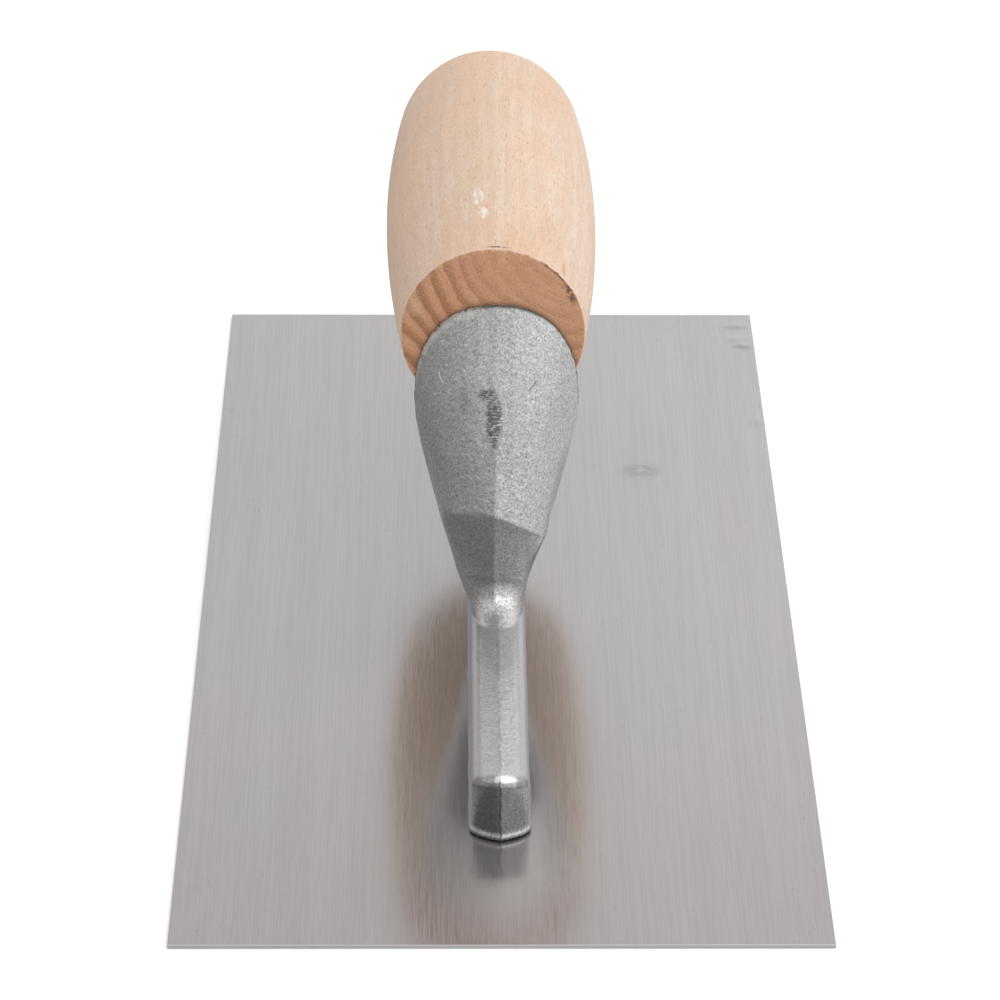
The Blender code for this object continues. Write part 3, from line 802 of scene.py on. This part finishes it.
def make_rivets(material):
    """Countersunk rivets, hammered to fill their holes and ground flush with the blade."""
    outline = [(0.0, 8.45), (1.9, 8.45), (2.15, 8.2), (2.15, 1.5)]
    outline += [(3.70, 0.06), (3.64, 0.015), (3.4, 0.0), (3.3, 0.0), (0.0, 0.0)]
    outline = [(radius * MM, height * MM) for radius, height in outline]
    for number in range(RIVET_COUNT):
        name = f"flush_rivet_{number + 1}"
        mesh = turned_mesh(name, outline, 64)
        round_shading(mesh)
        obj = link(name, mesh, material)
        y = (number - (RIVET_COUNT - 1) / 2) * RIVET_PITCH
        obj.location = (0.0, y, sheet_height(0.0, y) * 0.6)
        settle(obj, [f"rivet_{number + 1}"])


# Screw and washer ---------------------------------------------------------------------------------


def make_washer(material):
    outline = [(3.35, 0.15), (3.5, 0.0), (6.45, 0.0), (6.6, 0.15), (6.6, 1.05), (6.5, 1.25), (6.25, 1.4)]
    outline += [(3.6, 1.4), (3.4, 1.3), (3.35, 1.1)]
    mesh = turned_mesh("washer", [(r * MM, z * MM) for r, z in outline], 96, hollow=True)
    round_shading(mesh)
    obj = link("washer", mesh, material)
    place_on_handle(obj, counterbore_floor() + SEAT_GAP)
    return settle(obj, ["screw_washer"])


def make_screw(material):
    base = counterbore_floor() + WASHER_THICKNESS + 2 * SEAT_GAP
    head = [(0.0, 3.6), (1.6, 3.56), (3.0, 3.38), (4.2, 3.0)]
    head += [(4.9, 2.45), (5.2, 1.7), (5.2, 0.25), (5.05, 0.0)]
    outline = [(r * MM, z * MM) for r, z in head]
    shank = base - SCREW_SHANK_END
    outline.append((SCREW_RADIUS, 0.0))
    turns = int((shank - 0.001) / THREAD_PITCH)
    for turn in range(turns):
        top = -0.0008 - turn * THREAD_PITCH
        outline.append((SCREW_RADIUS, top))
        outline.append((SCREW_RADIUS - THREAD_DEPTH, top - THREAD_PITCH / 2))
    outline.append((SCREW_RADIUS - 0.0008, -shank))
    outline.append((0.0, -shank))
    mesh = turned_mesh("slotted_screw", outline, 72)
    obj = link("slotted_screw", mesh, material)
    cutter_mesh = bpy.data.meshes.new("slot_cutter")
    bm = bmesh.new()
    bmesh.ops.create_cube(bm, size=1.0, matrix=Matrix.Diagonal((*SLOT_BOX, 1.0)))
    bm.to_mesh(cutter_mesh)
    bm.free()
    cutter = link("slot_cutter", cutter_mesh, None)
    cutter.location = (0.0, 0.0, SCREW_HEAD_HEIGHT)
    slot = obj.modifiers.new("slot", "BOOLEAN")
    slot.operation = "DIFFERENCE"
    slot.solver = "EXACT"
    slot.object = cutter
    ease = obj.modifiers.new("ease", "BEVEL")
    ease.width = 0.00008
    ease.segments = 2
    ease.limit_method = "ANGLE"
    ease.angle_limit = math.radians(50)
    obj.data = baked(obj)
    obj.modifiers.clear()
    bpy.data.objects.remove(cutter)
    round_shading(obj.data)
    place_on_handle(obj, base)
    return settle(obj, ["handle_screw"])


# Surroundings -------------------------------------------------------------------------------------


def make_floor():
    mesh = bpy.data.meshes.new("floor")
    corners = [(-1, -1), (1, -1), (1, 1), (-1, 1)]
    mesh.from_pydata([(x * FLOOR_REACH, y * FLOOR_REACH, 0) for x, y in corners], [], [(0, 1, 2, 3)])
    floor = link("floor", mesh, floor_paper())
    floor.location.z = cad_low.z - FLOOR_GAP
    # Mirror rays pass through the floor and meet the lower half of the world instead
    floor.visible_glossy = False


class Sky(Graph):
    """The surroundings as a world shader, with the same short calls. Its place is a direction."""

    def __init__(self):
        world = bpy.data.worlds.new("studio")
        bpy.context.scene.world = world
        world.use_nodes = True
        self.tree = world.node_tree
        self.place = self.tree.nodes.new("ShaderNodeTexCoord").outputs["Generated"]


def make_world():
    """A studio: bright behind and to the right, dimmer to the left and overhead, dark low in front."""
    sky = Sky()
    x, y, z = sky.parts()
    side = sky.step(x, -0.85, 0.75, 0.55, 0.90)
    toe_side = sky.step(x, -0.35, 0.45, 0.05, 0.30)
    low = sky.blend(sky.step(y, -0.95, -0.35, 1.0, 0.0), side, toe_side)
    raised = sky.step(x, -0.40, 0.50, 0.64, 1.78)
    front = sky.blend(sky.step(z, 0.04, 0.36), low, raised)
    overhead = sky.step(z, 0.78, 0.92, 1.02, 0.60)
    upper = sky.blend(sky.step(z, 0.52, 0.80), front, overhead)
    behind = sky.times(sky.step(z, 0.50, 0.62, 1.05, 0.78), sky.step(x, -0.09, 0.09, 0.90, 1.02))
    around = sky.blend(sky.step(y, 0.02, 0.50), upper, behind)
    beneath = sky.step(x, -0.25, 0.45, 0.36, 1.0)
    back = sky.blend(sky.step(z, -0.06, 0.0), beneath, around)
    background = sky.tree.nodes["Background"]
    sky.put(background.inputs["Color"], back)
    background.inputs["Strength"].default_value = 1.0


def make_light(name, place, target, width, depth, power):
    data = bpy.data.lights.new(name, "AREA")
    data.shape = "RECTANGLE"
    data.size = width
    data.size_y = depth
    data.energy = power
    light = bpy.data.objects.new(name, data)
    light.location = place
    light.rotation_mode = "QUATERNION"
    light.rotation_quaternion = (Vector(target) - Vector(place)).to_track_quat("-Z", "Y")
    bpy.context.scene.collection.objects.link(light)


def make_camera():
    data = bpy.data.cameras.new("camera")
    data.lens = CAMERA_LENS
    data.sensor_width = CAMERA_SENSOR
    data.clip_start = 0.01
    data.clip_end = 20.0
    camera = bpy.data.objects.new("camera", data)
    turn = Matrix.Rotation(-CAMERA_YAW, 4, "Z") @ Matrix.Rotation(math.pi / 2 - CAMERA_PITCH, 4, "X")
    camera.matrix_world = Matrix.Translation(CAMERA_PLACE) @ turn @ Matrix.Rotation(CAMERA_ROLL, 4, "Z")
    bpy.context.scene.collection.objects.link(camera)
    bpy.context.scene.camera = camera


make_camera()
make_floor()
make_world()
make_light("key", (0.26, 0.24, 1.31), (0.0, 0.0, 0.02), 0.90, 0.90, 7.6)
bpy.context.scene.view_settings.view_transform = "Standard"

zinc = zinc_steel()
make_handle(beech_side(), beech_end())
make_mounting(cast_aluminium())
make_blade(brushed_steel("brushed_blade_steel"))
make_rivets(brushed_steel("ground_rivet_steel", 0.42))
make_washer(zinc)
make_screw(zinc)
